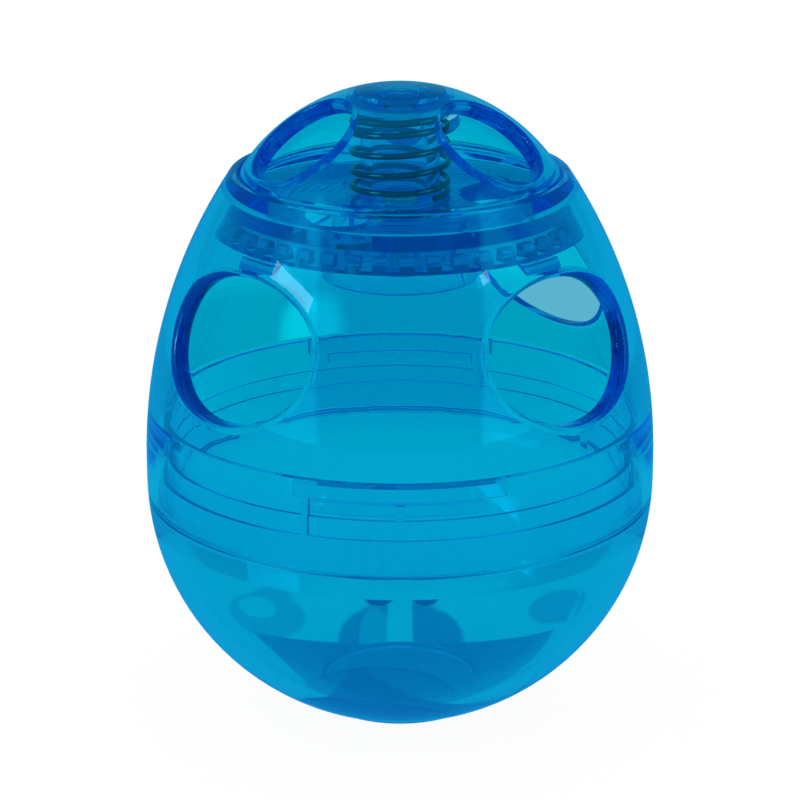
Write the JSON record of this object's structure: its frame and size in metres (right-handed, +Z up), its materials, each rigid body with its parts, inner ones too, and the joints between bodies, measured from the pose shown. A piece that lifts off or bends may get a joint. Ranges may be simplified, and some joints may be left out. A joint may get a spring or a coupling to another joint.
{
  "type": "cat treat dispenser toy",
  "caption": "Egg-shaped treat dispenser toy in clear plastic, with oval side windows, a twist-off bowl and a sprung, turning selector dome with round openings.",
  "frame": {"origin": "middle of the foot, in the plane that the toy stands on", "axes": "+Z up along the toy's axis; the three side windows look along +X, +Y and -Y"},
  "size_m": [0.07, 0.07, 0.0877],
  "materials": {
    "clear_plastic": "clear blue moulded plastic, polished",
    "plated_steel": "bright plated steel",
    "spring_steel": "drawn spring wire"
  },
  "bodies": {
    "bowl": {"lower_bowl": "clear_plastic"},
    "shell": {"upper_shell": "clear_plastic", "deck_plate": "clear_plastic", "compression_spring": "spring_steel"},
    "press": {"spring_washer": "plated_steel"},
    "selector": {"selector_dome": "clear_plastic", "apex_cap": "clear_plastic", "hub_cap": "clear_plastic", "stem_screw": "plated_steel"}
  },
  "joints": [
    {"name": "bayonet_twist", "type": "hinge", "parent": "bowl", "child": "shell", "pos_m": [0, 0, 0.0397], "axis": [0, 0, 1], "range_deg": [0, 45]},
    {"name": "dome_press", "type": "slide", "parent": "shell", "child": "press", "axis": [0, 0, -1], "range_m": [0, 0.0015], "stiffness_N_per_m": 640, "springref_m": -0.0025, "deforming": ["compression_spring"]},
    {"name": "dome_turn", "type": "hinge", "parent": "press", "child": "selector", "pos_m": [0, 0, 0.072], "axis": [0, 0, 1], "continuous": true}
  ]
}
